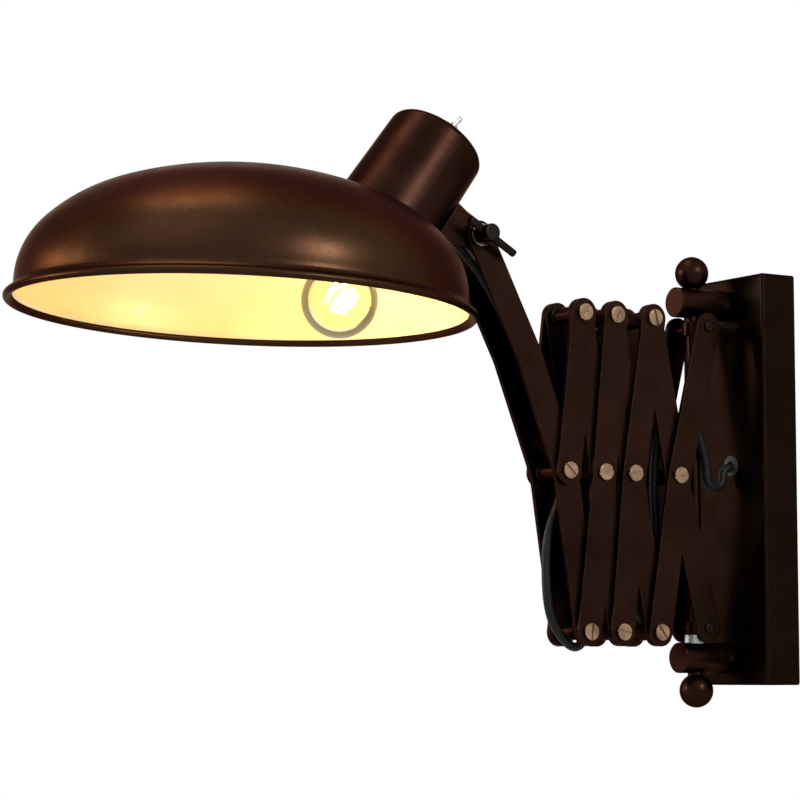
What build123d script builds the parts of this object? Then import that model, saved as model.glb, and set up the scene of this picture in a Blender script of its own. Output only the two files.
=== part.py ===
from build123d import *
import math
import os

# Accordion wall lamp: a wall box with a vertical swivel rod, a three and a half stage scissor arm,
# a bent lamp arm and a wide domed shade on a friction knuckle.
#
# Frame, in millimetres: the origin is the middle of the wall box's back, on the wall.
# -Y points out of the wall into the room, +Z is up and +X is the side seen in the photograph.
# The scissor works in the YZ plane, so its pivots run along X.

os.makedirs("parts", exist_ok=True)

# ---------------------------------------------------------------- wall box
box_w = 80.0
box_d = 26.0
box_h = 257.0
box_wall = 1.5
box_edge_r = 2.0
plate_w = 60.0
plate_t = 2.0
plate_gap = 0.3
plate_ear_d = 14.0
plate_hole_r = 2.6
plate_hole_spacing = 140.0
mains_hole_r = 9.0
mains_hole_z = -42.0
box_screw_y = -9.0
box_screw_r = 1.9
box_screw_len = 9.0
box_screw_head_r = 3.3

# ---------------------------------------------------------------- posts, rod and finials
post_r = 9.5
post_len = 38.5
post_from_end = 17.0
post_edge = 0.8
stud_r = 4.0
stud_depth = 15.5
stud_inner = 10.0
stud_clear = 0.05
nut_m8_af = 13.0
nut_m8_h = 6.5
set_screw_r = 2.0
set_screw_from_box = 4.0
rod_r = 4.0
rod_from_box = 24.0
rod_clear = 0.05
seat_depth = 0.6
ball_r = 10.6
ball_flat = 0.35
ball_lower_gap = 1.2
ball_bore_depth = 9.0

# ---------------------------------------------------------------- scissor
crossing_z = 0.95
pivot_from_post = 17.35
outer_rise = 2.75
first_reach = 23.9
upper_reach = (19.1, 12.9, 14.6)
lower_reach = (16.2, 9.8, 12.1)
link_w = 17.5
link_t = 2.5
layer_gap = 0.5
spacer_half = 11.0
hole_clear = 0.2
shank_r = 2.5
spacer_r = 5.0
spacer_bore_clear = 0.15
collar_r = 6.0
collar_t = 1.2
side_clear = 0.1
screw_head_r = 5.2
screw_head_h = 2.2
slot_w = 1.4
slot_d = 1.0
nut_m5_af = 8.0
nut_m5_h = 3.5

# ---------------------------------------------------------------- trunnions on the rod
sleeve_r = 6.5
sleeve_h = 8.0
sleeve_clear = 0.1
stub_r = 3.5
pivot_r = 2.0
pivot_depth = 7.0
pivot_head_r = 3.4
pivot_head_h = 1.4
washer_r = 7.0

# ---------------------------------------------------------------- lamp arm
arm_w = 17.5
arm_bend_r = 60.0
elbow_place = (-185.4, 70.2)
knuckle_place = (-221.1, 139.5)
arm_web_t = 2.0
web_from_crossing = 22.0
web_from_knuckle = 18.0

# ---------------------------------------------------------------- knuckle
bolt_r = 4.0
bolt_clear = 0.15
lug_r = 9.0
ear_t = 3.4
friction_t = 1.0
friction_r = 8.2
clamp_washer_r = 6.8
clamp_washer_t = 1.5
clamp_head_r = 5.3
clamp_head_len = 12.0
bar_r = 2.35
bar_len = 37.5
bar_offset = 3.5
bar_angle = -30.0
saddle_w = 20.0
saddle_t = 3.8
saddle_below = 19.0
saddle_above = 7.0

# ---------------------------------------------------------------- shade
rim_y = -377.0
rim_z = 83.4
shade_tilt = 2.75
shade_r = 129.5
shade_t = 1.0
skirt_top = 11.0
side_arc_r = 49.0
side_arc_angle = 45.0
shoulder_arc_r = 100.0
shoulder_arc_angle = 70.0
rim_flare = 5.5
bead_r = 2.3
flare_top = 7.5

# ---------------------------------------------------------------- neck, holder and bulb
neck_tilt = 36.75
neck_out = 92.5
neck_up = 65.0
neck_r_top = 30.5
neck_r_low = 32.6
neck_top = 65.0
neck_skirt = 22.0
neck_t = 1.2
neck_edge_r = 4.5
neck_seat = 0.05
neck_opening_r = 25.0
holder_shift = 5.0
holder_r = 17.2
holder_low = -24.0
holder_top = 32.0
holder_wall = 2.2
holder_roof = 3.0
holder_ring_r = 19.2
holder_ring_h = 7.0
cap_r = 13.1
cap_len = 22.0
bulb_r = 22.5
bulb_len = 75.0
bulb_z = -56.7
bulb_base = bulb_z - bulb_r + bulb_len
glass_t = 0.8
bulb_neck_r = 12.2
nipple_r = 5.0
nipple_bore_r = 3.4
bracket_w = 16.0
bracket_t = 1.5
bracket_z = 38.0
nipple_nut_af = 14.0
nipple_nut_h = 3.0
switch_bush_r = 3.6
switch_bush_len = 5.0
switch_size = (13.0, 8.0, 12.0)
switch_x = 17.0
switch_side = -4.6
switch_nut_af = 11.0
switch_nut_h = 2.6
bat_len = 9.3
bat_r_tip = 1.7
bat_r_root = 1.2
bat_ball_r = 2.4
bat_lean = 8.0
bat_play = 0.1
bat_sink = 0.6

# ---------------------------------------------------------------- cable
cable_r = 2.8
grommet_x = 8.0
grommet_z = 9.0
grommet_flange_r = 6.5
grommet_flange_t = 1.2
grommet_bush = 2.1
cable_clear = 0.2
fold_side = 8.0
fold_in = 8.45
bolt_pass = 7.4

# ================================================================ derived places
face_y = -box_d
post_z = box_h / 2 - post_from_end
slider_height = post_z - pivot_from_post
crossing_height = slider_height + outer_rise
rod_y = face_y - rod_from_box
post_end_y = face_y - post_len
inner_x = (spacer_half, spacer_half + link_t)
outer_x = (inner_x[1] + layer_gap, inner_x[1] + layer_gap + link_t)
stack_x = outer_x[1]
hole_r = shank_r + hole_clear


def centre(i):
    """Crossing pivot i, from 1, as (y, z); each loop is a parallelogram, so the next one follows from it."""
    return (rod_y - first_reach - sum(upper_reach[: i - 1]) - sum(lower_reach[: i - 1]), crossing_z)


def top(i):
    """Upper pivot i, as (y, z); 0 is the slider on the rod."""
    if i == 0:
        return (rod_y, crossing_z + slider_height)
    return (centre(i)[0] - upper_reach[i - 1], crossing_z + crossing_height)


def bottom(i):
    """Lower pivot i, as (y, z); 0 is the trunnion on the rod."""
    if i == 0:
        return (rod_y, crossing_z - slider_height)
    return (centre(i)[0] - lower_reach[i - 1], crossing_z - crossing_height)


def along(start, end, length, aside=0.0):
    """The (y, z) point at length from start towards end, moved aside towards the wall."""
    span = math.hypot(end[0] - start[0], end[1] - start[1])
    dy, dz = (end[0] - start[0]) / span, (end[1] - start[1]) / span
    return (start[0] + length * dy + aside * dz, start[1] + length * dz - aside * dy)


arm_elbow = elbow_place
knuckle = knuckle_place


def tilted(angle):
    """Unit vector that leans from +Z towards +Y by angle, as (x, y, z)."""
    a = math.radians(angle)
    return (0.0, math.sin(a), math.cos(a))


def across(angle):
    """Unit vector at a right angle to tilted(angle), towards the wall."""
    a = math.radians(angle)
    return (0.0, math.cos(a), -math.sin(a))


def base_plane(origin, angle):
    """Plane across a tilted axis; its local y points towards the wall."""
    return Plane(origin=origin, x_dir=(1, 0, 0), z_dir=tilted(angle))


def section_plane(origin, angle):
    """Plane through a tilted axis for turned profiles: local x is the radius, local y is along the axis."""
    a = math.radians(angle)
    return Plane(origin=origin, x_dir=(1, 0, 0), z_dir=(0.0, -math.cos(a), math.sin(a)))


rim_centre = Vector(0, rim_y, rim_z)
shade_axis = Axis(rim_centre, tilted(shade_tilt))
neck_foot = rim_centre + Vector(*across(shade_tilt)) * neck_out + Vector(*tilted(shade_tilt)) * neck_up
neck_axis = Axis(neck_foot, tilted(neck_tilt))
neck_up_dir = Vector(*tilted(neck_tilt))
neck_side_dir = Vector(*across(neck_tilt))
holder_foot = neck_foot + neck_side_dir * holder_shift
holder_axis = Axis(holder_foot, tilted(neck_tilt))


def in_neck(side, up, x=0.0):
    """A point given from the neck's foot: towards the wall, then up the neck's axis."""
    return neck_foot + neck_side_dir * side + neck_up_dir * up + Vector(x, 0, 0)


knuckle_rel = Vector(0, *knuckle) - neck_foot
knuckle_side = knuckle_rel.dot(neck_side_dir)
knuckle_up = knuckle_rel.dot(neck_up_dir)
cable_up = knuckle_up - bolt_pass
built = []


def finish(part, name):
    """Label a finished part, remember it and write its file."""
    part.label = name
    built.append(part)
    export_step(part, f"parts/{name}.step")


# ================================================================ wall box
ear_top = box_h / 2 - box_wall - plate_gap
with BuildPart() as wall_plate:
    with BuildSketch(Plane.XZ) as plate_face:
        Rectangle(plate_w, 2 * ear_top)
    extrude(amount=plate_t)
    for side in (1, -1):
        with BuildSketch(Plane.XY.offset(side * ear_top - (plate_t if side > 0 else 0))):
            with Locations((0, -plate_ear_d / 2)):
                Rectangle(plate_w, plate_ear_d)
        extrude(amount=plate_t)
    with Locations(Plane.XZ):
        with Locations((0, plate_hole_spacing / 2), (0, -plate_hole_spacing / 2)):
            Cylinder(plate_hole_r, 4 * plate_t, mode=Mode.SUBTRACT)
        with Locations((0, mains_hole_z)):
            Cylinder(mains_hole_r, 4 * plate_t, mode=Mode.SUBTRACT)
    with Locations((0, box_screw_y, 0)):
        Cylinder(box_screw_r + rod_clear, box_h, mode=Mode.SUBTRACT)
finish(wall_plate.part, "wall_plate")

with BuildPart() as box_shell:
    with Locations((0, face_y / 2, 0)):
        Box(box_w, box_d, box_h)
    fillet(box_shell.edges().filter_by(Axis.Y), box_edge_r)
    fillet(box_shell.faces().sort_by(Axis.Y)[0].edges(), box_edge_r)
    offset(amount=-box_wall, openings=box_shell.faces().sort_by(Axis.Y)[-1])
    with Locations(Plane.XZ.offset(box_d)):
        with Locations((0, post_z), (0, -post_z)):
            Cylinder(stud_r + hole_clear, 4 * box_wall, mode=Mode.SUBTRACT)
        with Locations((grommet_x, grommet_z)):
            Cylinder(grommet_flange_r - grommet_bush, 4 * box_wall, mode=Mode.SUBTRACT)
    for side in (1, -1):
        with Locations(Location((0, box_screw_y, side * box_h / 2), (0 if side > 0 else 180, 0, 0))):
            CounterSinkHole(box_screw_r + hole_clear, box_screw_head_r, 4 * box_wall, 90)
finish(box_shell.part, "box_shell")

with BuildPart() as box_screws:
    for side in (1, -1):
        place = Plane(origin=(0, box_screw_y, side * (box_h / 2 - 0.1)), x_dir=(1, 0, 0), z_dir=(0, 0, side))
        with BuildSketch(Plane(origin=place.origin, x_dir=(1, 0, 0), z_dir=(0, -side, 0))):
            with BuildLine():
                Polyline(
                    (0, 0),
                    (box_screw_head_r - 0.2, 0),
                    (box_screw_r, box_screw_r - box_screw_head_r + 0.2),
                    (box_screw_r, -box_screw_len),
                    (0, -box_screw_len),
                    close=True,
                )
            make_face()
        revolve(axis=Axis(place.origin, (0, 0, 1)))
        with Locations(place):
            Box(2 * box_screw_head_r, 0.9, 1.2, mode=Mode.SUBTRACT)
finish(box_screws.part, "box_screws")

# ================================================================ posts, studs, rod and finials
with BuildPart() as posts:
    for side in (1, -1):
        with BuildSketch(Plane.XZ.offset(box_d)):
            with Locations((0, side * post_z)):
                Circle(post_r)
        extrude(amount=post_len)
    chamfer(posts.faces().sort_by(Axis.Y)[:2].edges(), post_edge)
    for side in (1, -1):
        with Locations((0, rod_y, side * post_z)):
            Cylinder(rod_r + rod_clear, 4 * post_r, mode=Mode.SUBTRACT)
        for way in (1, -1):
            with Locations((0, rod_y, side * post_z + way * 2 * post_r)):
                Cylinder(washer_r + 0.2, 2 * (post_r + seat_depth), mode=Mode.SUBTRACT)
        with Locations(Location((0, face_y, side * post_z), (90, 0, 0))):
            Cylinder(
                stud_r + stud_clear,
                stud_depth,
                align=(Align.CENTER, Align.CENTER, Align.MIN),
                mode=Mode.SUBTRACT,
            )
        with Locations(Location((0, face_y - set_screw_from_box, side * post_z), (0, 90, 0))):
            Cylinder(
                set_screw_r + stud_clear,
                2 * post_r,
                align=(Align.CENTER, Align.CENTER, Align.MIN),
                mode=Mode.SUBTRACT,
            )
finish(posts.part, "posts")

with BuildPart() as set_screws:
    for side in (1, -1):
        with BuildSketch(Plane.YZ.offset(stud_r + stud_clear)):
            with Locations((face_y - set_screw_from_box, side * post_z)):
                Circle(set_screw_r)
        extrude(amount=post_r - stud_r - 0.3)
    for side in (1, -1):
        with BuildSketch(Plane.YZ.offset(post_r - 1.2)):
            with Locations((face_y - set_screw_from_box, side * post_z)):
                RegularPolygon(1.1, 6)
        extrude(amount=2.0, mode=Mode.SUBTRACT)
finish(set_screws.part, "set_screws")

with BuildPart() as post_studs:
    for side in (1, -1):
        with BuildSketch(Plane.XZ.offset(box_d - box_wall - stud_inner)):
            with Locations((0, side * post_z)):
                Circle(stud_r)
        extrude(amount=stud_inner + box_wall + stud_depth - 0.4)
    for side in (1, -1):
        with BuildSketch(Plane.XZ.offset(box_d - box_wall - side_clear - nut_m8_h)):
            with Locations((0, side * post_z)):
                RegularPolygon(nut_m8_af / 2, 6, major_radius=False)
                Circle(stud_r + stud_clear, mode=Mode.SUBTRACT)
        extrude(amount=nut_m8_h)
finish(post_studs.part, "post_studs")

seat_out = post_z + post_r - seat_depth
ball_top_z = seat_out + ball_r - ball_flat
ball_low_z = -(seat_out + ball_lower_gap + ball_r - ball_flat)
rod_top_z = seat_out + ball_bore_depth - 0.5
rod_low_z = -(seat_out + ball_lower_gap + ball_bore_depth - 0.5)
with BuildPart() as swivel_rod:
    with BuildSketch(Plane.XY.offset(rod_low_z)):
        with Locations((0, rod_y)):
            Circle(rod_r)
    extrude(amount=rod_top_z - rod_low_z)
    chamfer(swivel_rod.edges().filter_by(GeomType.CIRCLE), 0.5)
finish(swivel_rod.part, "swivel_rod")

with BuildPart() as ball_finials:
    for ball_z, side in ((ball_top_z, 1), (ball_low_z, -1)):
        with Locations((0, rod_y, ball_z)):
            Sphere(ball_r)
        with Locations((0, rod_y, ball_z - side * (2 * ball_r - ball_flat))):
            Box(2 * ball_r, 2 * ball_r, 2 * ball_r, mode=Mode.SUBTRACT)
        with Locations((0, rod_y, ball_z - side * (ball_r - ball_flat))):
            Cylinder(rod_r + rod_clear, 2 * ball_bore_depth, mode=Mode.SUBTRACT)
finish(ball_finials.part, "ball_finials")

trunnion_low = bottom(0)[1] - sleeve_h / 2
seat_in = post_z - post_r + seat_depth
with BuildPart() as thrust_washer:
    with BuildSketch(Plane.XY.offset(-seat_in)):
        with Locations((0, rod_y)):
            Circle(washer_r)
            Circle(rod_r + rod_clear, mode=Mode.SUBTRACT)
    extrude(amount=trunnion_low + seat_in - side_clear)
finish(thrust_washer.part, "thrust_washer")

# ================================================================ cable inlet and terminal block
with BuildPart() as cable_grommet:
    with BuildSketch(Plane.XZ.offset(box_d)):
        with Locations((grommet_x, grommet_z)):
            Circle(grommet_flange_r)
    extrude(amount=grommet_flange_t)
    with BuildSketch(Plane.XZ.offset(box_d)):
        with Locations((grommet_x, grommet_z)):
            Circle(grommet_flange_r - grommet_bush - 0.1)
    extrude(amount=-box_wall)
    with BuildSketch(Plane.XZ.offset(box_d - box_wall)):
        with Locations((grommet_x, grommet_z)):
            Circle(grommet_flange_r)
    extrude(amount=-grommet_flange_t)
    with Locations(Location((grommet_x, face_y, grommet_z), (90, 0, 0))):
        Cylinder(cable_r + cable_clear, 6 * grommet_bush, mode=Mode.SUBTRACT)
    front_rings = cable_grommet.edges().filter_by(GeomType.CIRCLE).group_by(Axis.Y)[0]
    fillet(front_rings.sort_by(SortBy.RADIUS)[-1], 0.5)
finish(cable_grommet.part, "cable_grommet")

block_top = -8.0
block_size = (26.0, 11.5, 16.0)
block_y = -plate_t - block_size[1] / 2
block_grip = 4.0
block_pitch = 8.0
block_hole_r = 2.2
block_hole_depth = 4.0
with BuildPart() as terminal_block:
    with BuildSketch(Plane.XY.offset(block_top - block_size[2])):
        with Locations((grommet_x, block_y)):
            RectangleRounded(block_size[0], block_size[1], 1.0)
    extrude(amount=block_size[2])
    for i in (-1, 0, 1):
        with Locations(
            Location(
                (grommet_x + i * block_pitch, -plate_t - block_size[1], block_top - block_size[2] / 2), (90, 0, 0)
            )
        ):
            Cylinder(block_hole_r, 2 * block_hole_depth, mode=Mode.SUBTRACT)
    with Locations((grommet_x, block_y, block_top)):
        Cylinder(cable_r + cable_clear, 2 * block_grip, mode=Mode.SUBTRACT)
finish(terminal_block.part, "terminal_block")

# ================================================================ scissor links


def link(pivots, x_range):
    """A near and a far bar with round ends, through two or three pivots, as two solids."""
    with BuildPart() as bars:
        for x_low in (x_range[0], -x_range[1]):
            with BuildSketch(Plane.YZ.offset(x_low)):
                for (y0, z0), (y1, z1) in zip(pivots, pivots[1:]):
                    angle = math.degrees(math.atan2(z1 - z0, y1 - y0))
                    with Locations(((y0 + y1) / 2, (z0 + z1) / 2)):
                        SlotCenterToCenter(math.hypot(y1 - y0, z1 - z0), link_w, rotation=angle)
                with Locations(*pivots):
                    Circle(hole_r, mode=Mode.SUBTRACT)
            extrude(amount=link_t)
    return bars.part


def pivot_screws(pins):
    """Slotted screws, each with its hexagon nut on the far side; pins are (pivot, slot angle)."""
    head_x = stack_x + side_clear
    with BuildPart() as screws:
        for (y, z), _ in pins:
            with BuildSketch(Plane.YZ.offset(head_x)):
                with Locations((y, z)):
                    Circle(screw_head_r)
            extrude(amount=screw_head_h)
        chamfer(screws.faces().sort_by(Axis.X)[-len(pins):].edges(), 0.5)
        for (y, z), _ in pins:
            with BuildSketch(Plane.YZ.offset(head_x)):
                with Locations((y, z)):
                    Circle(shank_r)
            extrude(amount=-(head_x + stack_x + side_clear + nut_m5_h + 0.8))
            with BuildSketch(Plane.YZ.offset(-stack_x - side_clear)):
                with Locations((y, z)):
                    RegularPolygon(nut_m5_af / 2, 6, major_radius=False)
                    Circle(shank_r + stud_clear, mode=Mode.SUBTRACT)
            extrude(amount=-nut_m5_h)
        for (y, z), slot in pins:
            with BuildSketch(Plane.YZ.offset(head_x + screw_head_h - slot_d)):
                with Locations((y, z)):
                    Rectangle(3 * screw_head_r, slot_w, rotation=slot)
            extrude(amount=2 * slot_d, mode=Mode.SUBTRACT)
    return screws.part


def spacers(pivots):
    """Tubes with end collars that hold the near and far inner bars apart."""
    end = spacer_half - side_clear
    with BuildPart() as tubes:
        for y, z in pivots:
            for x_low, length, radius in (
                (-end, 2 * end, spacer_r),
                (-end, collar_t, collar_r),
                (end - collar_t, collar_t, collar_r),
            ):
                with BuildSketch(Plane.YZ.offset(x_low)):
                    with Locations((y, z)):
                        Circle(radius)
                extrude(amount=length)
            with BuildSketch(Plane.YZ.offset(-spacer_half)):
                with Locations((y, z)):
                    Circle(shank_r + spacer_bore_clear)
            extrude(amount=2 * spacer_half, mode=Mode.SUBTRACT)
    return tubes.part


for i in (1, 2, 3):
    finish(link((bottom(i), centre(i), top(i - 1)), outer_x), f"outer_links_{i}")
    finish(link((top(i), centre(i), bottom(i - 1)), inner_x), f"inner_links_{i}")
finish(link((centre(4), top(3)), outer_x), "end_links")

pin_groups = {
    "inner_1": ((centre(1), 22.0), (top(1), 104.0)),
    "outer_1": ((bottom(1), 128.0),),
    "inner_2": ((centre(2), 5.0), (top(2), 62.0)),
    "outer_2": ((bottom(2), 171.0),),
    "outer_3": ((centre(3), 17.0), (bottom(3), 84.0)),
    "inner_3": ((top(3), 48.0),),
    "arm": ((centre(4), 137.0),),
}
for name, pins in pin_groups.items():
    finish(pivot_screws(pins), f"pivot_screws_{name}")
    finish(spacers([pin[0] for pin in pins]), f"spacers_{name}")


# ================================================================ trunnions on the rod
def trunnion(pivot, face_x):
    """A sleeve round the rod with a stub to each side, tapped for the pivot screws."""
    y, z = pivot
    end = face_x - side_clear
    with BuildPart() as body:
        with BuildSketch(Plane.XY.offset(z - sleeve_h / 2)):
            with Locations((0, y)):
                Circle(sleeve_r)
        extrude(amount=sleeve_h)
        with BuildSketch(Plane.YZ.offset(-end)):
            with Locations((y, z)):
                Circle(stub_r)
        extrude(amount=2 * end)
        with BuildSketch(Plane.XY.offset(z - sleeve_h)):
            with Locations((0, y)):
                Circle(rod_r + sleeve_clear)
        extrude(amount=2 * sleeve_h, mode=Mode.SUBTRACT)
        for side in (1, -1):
            with BuildSketch(Plane.YZ.offset(side * end)):
                with Locations((y, z)):
                    Circle(pivot_r + stud_clear)
            extrude(amount=-side * pivot_depth, mode=Mode.SUBTRACT)
    return body.part


def trunnion_screws(pivot, x_range):
    """Small round-headed screws that hold the near and far bars on a trunnion."""
    y, z = pivot
    with BuildPart() as screws:
        for side in (1, -1):
            head_x = side * (x_range[1] + side_clear)
            with BuildSketch(Plane.YZ.offset(head_x)):
                with Locations((y, z)):
                    Circle(pivot_head_r)
            extrude(amount=side * pivot_head_h)
            with BuildSketch(Plane.YZ.offset(head_x)):
                with Locations((y, z)):
                    Circle(pivot_r)
            extrude(amount=-side * (link_t + side_clear + pivot_depth - 0.5))
        fillet(screws.faces().sort_by(Axis.X)[-1].edges(), 0.8)
        fillet(screws.faces().sort_by(Axis.X)[0].edges(), 0.8)
    return screws.part


finish(trunnion(bottom(0), inner_x[0]), "lower_trunnion")
finish(trunnion_screws(bottom(0), inner_x), "lower_pivot_screws")
finish(trunnion(top(0), outer_x[0]), "upper_slider")
finish(trunnion_screws(top(0), outer_x), "upper_pivot_screws")

# ================================================================ lamp arm
arm_points = (bottom(3), centre(4), arm_elbow, knuckle)
web_points = (
    along(centre(4), arm_elbow, web_from_crossing),
    arm_elbow,
    along(knuckle, arm_elbow, web_from_knuckle),
)


def beside(points, distance):
    """Points of a line at a distance from a (y, z) line, on the wall's side of it."""
    result = []
    for i, (y, z) in enumerate(points):
        runs = [points[i - 1 : i + 1], points[i : i + 2]]
        angles = [math.atan2(b[0] - a[0], b[1] - a[1]) for a, b in (run for run in runs if len(run) == 2)]
        middle = sum(angles) / len(angles)
        reach = distance / math.cos(angles[0] - middle)
        result.append((y + reach * math.cos(middle), z - reach * math.sin(middle)))
    return result


web_in = (arm_w - arm_web_t) / 2
with BuildPart() as lamp_arm:
    for x_low in (inner_x[0], -inner_x[1]):
        with BuildSketch(Plane.YZ.offset(x_low)):
            with BuildLine():
                FilletPolyline(*arm_points, radius=arm_bend_r)
            trace(line_width=arm_w)
            with Locations(bottom(3), knuckle):
                Circle(arm_w / 2)
            with Locations(bottom(3), centre(4)):
                Circle(hole_r, mode=Mode.SUBTRACT)
            with Locations(knuckle):
                Circle(bolt_r + bolt_clear, mode=Mode.SUBTRACT)
        extrude(amount=link_t)
    with BuildSketch(Plane.YZ.offset(-inner_x[1])):
        with BuildLine():
            FilletPolyline(*beside(web_points, web_in), radius=arm_bend_r + web_in)
        trace(line_width=arm_web_t)
    extrude(amount=2 * inner_x[1])
finish(lamp_arm.part, "lamp_arm")

# ================================================================ knuckle clamp
clamp_x = inner_x[1] + side_clear
head_low = clamp_x + clamp_washer_t + side_clear
with BuildPart() as clamp_bolt:
    with BuildSketch(Plane.YZ.offset(head_low)):
        with Locations(knuckle):
            Circle(clamp_head_r)
    extrude(amount=clamp_head_len)
    fillet(clamp_bolt.faces().sort_by(Axis.X)[-1].edges(), 1.2)
    with BuildSketch(Plane.YZ.offset(head_low)):
        with Locations(knuckle):
            Circle(bolt_r)
    extrude(amount=-(head_low + clamp_x + nut_m8_h + 1.0))
    bar_x = head_low + clamp_head_len / 2
    bar_place = Location((bar_x, knuckle[0], knuckle[1]), (bar_angle - 90, 0, 0))
    with Locations(bar_place):
        Cylinder(bar_r + rod_clear, 4 * clamp_head_r, mode=Mode.SUBTRACT)
finish(clamp_bolt.part, "clamp_bolt")

with BuildPart() as tommy_bar:
    with Locations(bar_place):
        with Locations((0, 0, bar_offset)):
            Cylinder(bar_r, bar_len)
    fillet(tommy_bar.edges().filter_by(GeomType.CIRCLE), 0.9)
finish(tommy_bar.part, "tommy_bar")

with BuildPart() as clamp_washer:
    with BuildSketch(Plane.YZ.offset(clamp_x)):
        with Locations(knuckle):
            Circle(clamp_washer_r)
            Circle(bolt_r + bolt_clear, mode=Mode.SUBTRACT)
    extrude(amount=clamp_washer_t)
finish(clamp_washer.part, "clamp_washer")

with BuildPart() as clamp_nut:
    with BuildSketch(Plane.YZ.offset(-clamp_x)):
        with Locations(knuckle):
            RegularPolygon(nut_m8_af / 2, 6, major_radius=False)
            Circle(bolt_r + stud_clear, mode=Mode.SUBTRACT)
    extrude(amount=-nut_m8_h)
finish(clamp_nut.part, "clamp_nut")


# ================================================================ shade
def dome_arcs(inset):
    """The three arcs of the dome's profile, inset from the outside, as (centre, radius, start, size)."""
    side, shoulder = math.radians(side_arc_angle), math.radians(shoulder_arc_angle)
    c1 = (shade_r - side_arc_r, skirt_top)
    reach = shoulder_arc_r - side_arc_r
    c2 = (c1[0] - reach * math.cos(side), c1[1] - reach * math.sin(side))
    crown_r = shoulder_arc_r + c2[0] / math.cos(shoulder)
    c3 = (0.0, c2[1] - (crown_r - shoulder_arc_r) * math.sin(shoulder))
    return (
        (c1, side_arc_r - inset, 0.0, side_arc_angle),
        (c2, shoulder_arc_r - inset, side_arc_angle, shoulder_arc_angle - side_arc_angle),
        (c3, crown_r - inset, shoulder_arc_angle, 90.0 - shoulder_arc_angle),
    )


def crown_height(inset):
    """Height of the dome's top above the rim plane at an inset from the outside."""
    (_, z), radius, _, _ = dome_arcs(inset)[2]
    return z + radius


shade_section = section_plane(rim_centre, shade_tilt)
neck_section = section_plane(neck_foot, neck_tilt)
bead_mid = shade_r + rim_flare - bead_r
with BuildPart() as shade:
    with BuildSketch(shade_section):
        with BuildLine():
            for arc_centre, radius, start, size in dome_arcs(0.0):
                CenterArc(arc_centre, radius, start, size)
            Line((0, crown_height(0.0)), (0, crown_height(shade_t)))
            for arc_centre, radius, start, size in dome_arcs(shade_t):
                CenterArc(arc_centre, radius, start, size)
            Polyline(
                (shade_r - shade_t, skirt_top),
                (shade_r - shade_t, flare_top - 0.4),
                (bead_mid - shade_t, bead_r + 0.8),
                (bead_mid, bead_r),
                (bead_mid + 0.7, 2 * bead_r - 0.3),
                (shade_r, flare_top),
                (shade_r, skirt_top),
            )
        make_face()
        with Locations((bead_mid, bead_r)):
            Circle(bead_r)
    revolve(axis=shade_axis)
    with BuildSketch(base_plane(neck_foot, neck_tilt)):
        Circle(neck_opening_r)
    extrude(amount=-neck_skirt, mode=Mode.SUBTRACT)
    with BuildSketch(base_plane(neck_foot, neck_tilt)):
        Circle(neck_opening_r)
    extrude(amount=neck_skirt, mode=Mode.SUBTRACT)
finish(shade.part, "shade")

# ================================================================ neck cup
with BuildPart() as neck_cup:
    with BuildSketch(neck_section):
        with BuildLine():
            Polyline(
                (0, neck_top),
                (neck_r_top, neck_top),
                (neck_r_low, -neck_skirt),
                (neck_r_low - neck_t, -neck_skirt),
                (neck_r_top - neck_t, neck_top - neck_t),
                (0, neck_top - neck_t),
                close=True,
            )
        make_face()
    revolve(axis=neck_axis)
    fillet(neck_cup.edges().filter_by(GeomType.CIRCLE).sort_by(neck_axis)[-1], neck_edge_r)
    with BuildSketch(shade_section):
        with BuildLine():
            for arc_centre, radius, start, size in dome_arcs(-neck_seat):
                CenterArc(arc_centre, radius, start, size)
            Polyline(
                (0, crown_height(-neck_seat)),
                (0, -neck_skirt),
                (shade_r + neck_seat, -neck_skirt),
                (shade_r + neck_seat, skirt_top),
            )
        make_face()
    revolve(axis=shade_axis, mode=Mode.SUBTRACT)
    with BuildSketch(base_plane(in_neck(switch_side, neck_top + 1, switch_x), neck_tilt)):
        Circle(switch_bush_r + hole_clear)
    extrude(amount=-2 * neck_edge_r, mode=Mode.SUBTRACT)
    with BuildSketch(Plane(origin=in_neck(0, cable_up), x_dir=(1, 0, 0), z_dir=neck_side_dir)):
        Circle(cable_r + cable_clear)
    extrude(amount=2 * neck_r_low, mode=Mode.SUBTRACT)
finish(neck_cup.part, "neck_cup")

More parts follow.
